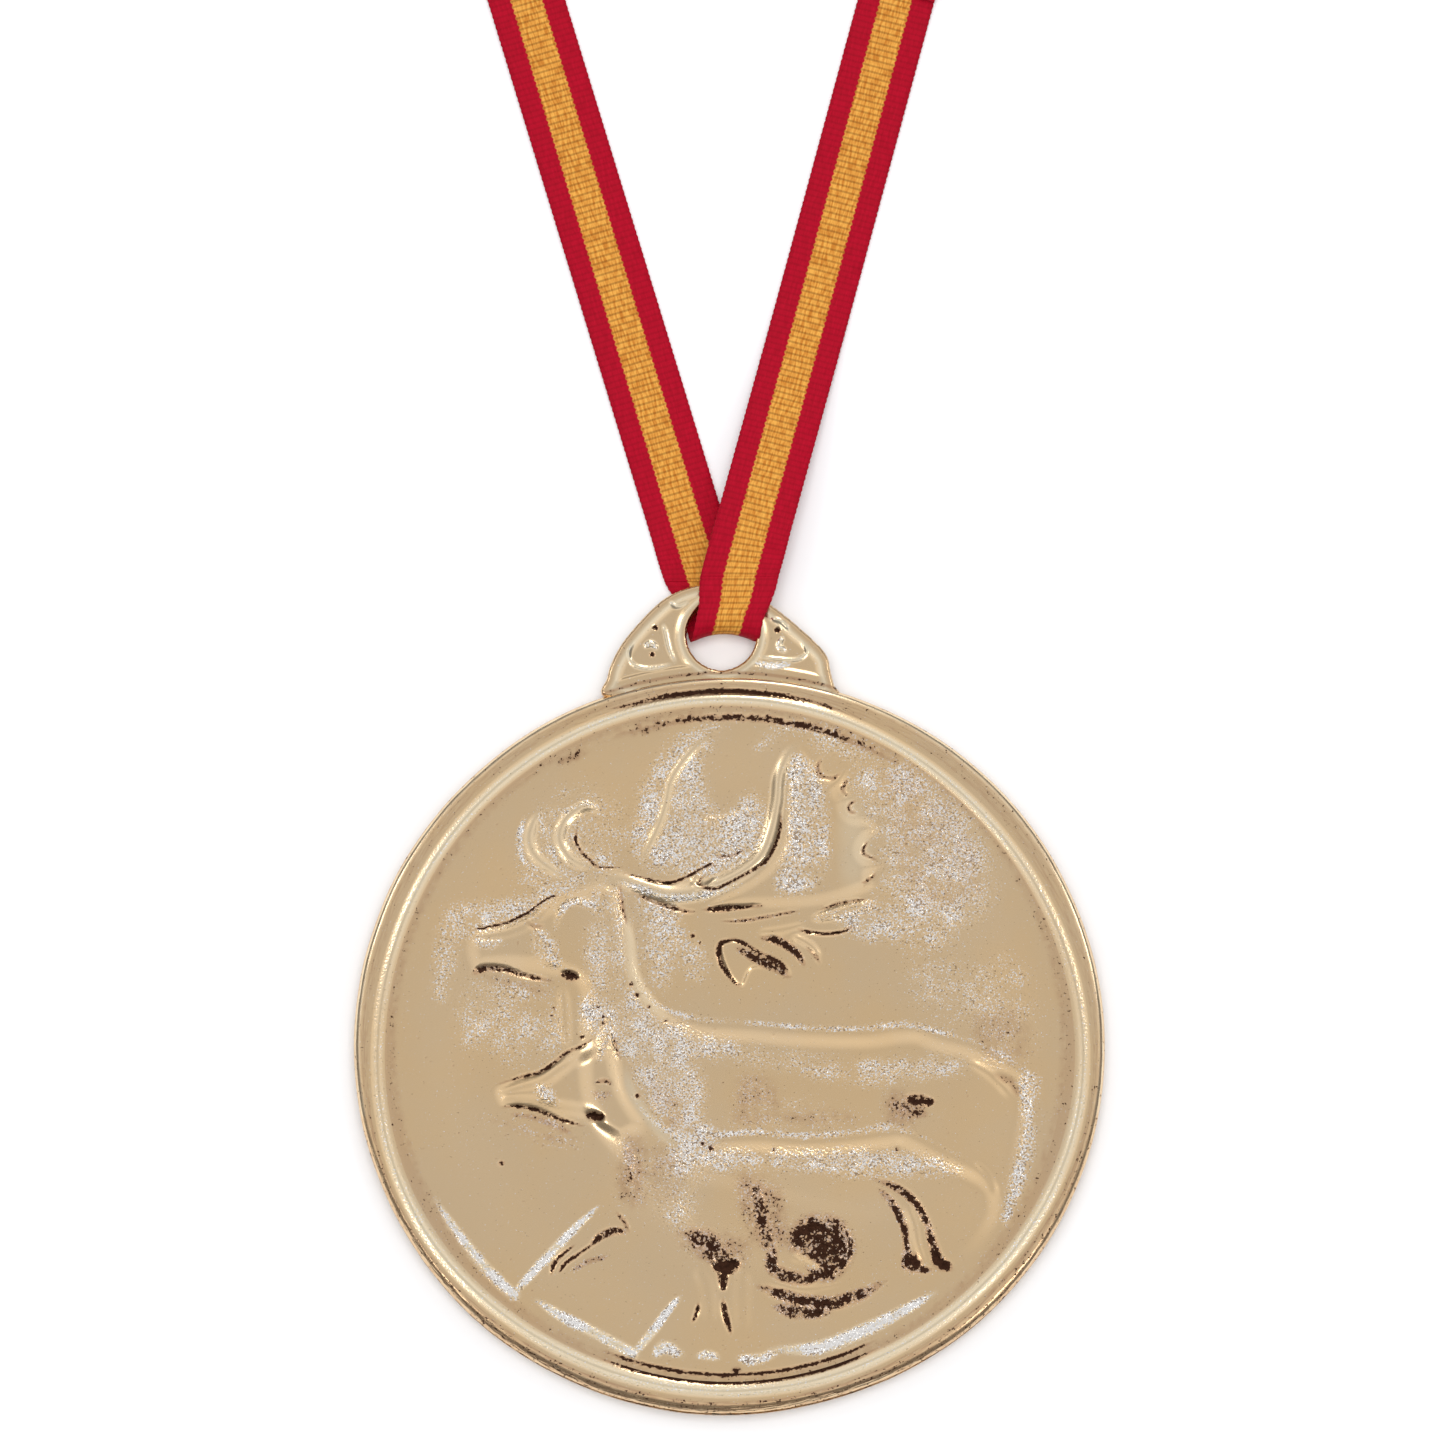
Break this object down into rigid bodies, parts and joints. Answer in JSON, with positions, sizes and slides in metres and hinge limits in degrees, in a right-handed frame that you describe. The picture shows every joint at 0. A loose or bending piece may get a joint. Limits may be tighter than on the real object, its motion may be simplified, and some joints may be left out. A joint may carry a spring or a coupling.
{
  "type": "neck medal",
  "caption": "Round cast metal medal with a deer relief in a beaded rim and a pierced lug, on a narrow striped woven neck ribbon wound into a tied coil.",
  "frame": {"origin": "centre of the disc on the medal's flat back, which lies on the table", "axes": "+Z out of the medal's face, +Y from the disc's centre towards the ribbon lug, +X to the right of the face"},
  "size_m": [0.08, 0.2204, 0.008],
  "materials": {
    "gold_plate": "polished pale gold plating",
    "striped_ribbon": "red, yellow and red ribbed weave",
    "red_thread": "spun polyester thread",
    "paper_tie": "matt paper over wire"
  },
  "bodies": {
    "medal": {"medal_casting": "gold_plate", "ribbon_fold": "striped_ribbon"},
    "ribbon": {"ribbon_front_leg": "striped_ribbon", "ribbon_back_leg": "striped_ribbon", "ribbon_coil": "striped_ribbon", "ribbon_lap": "striped_ribbon", "seam_thread": "red_thread", "coil_tie": "paper_tie"}
  },
  "joints": [
    {"name": "ribbon_swing", "type": "hinge", "parent": "medal", "child": "ribbon", "pos_m": [-0.0006, 0.04239, 0.00173], "axis": [1, 0, 0], "range_deg": [-90, 90], "deforming": ["ribbon_fold"]}
  ]
}
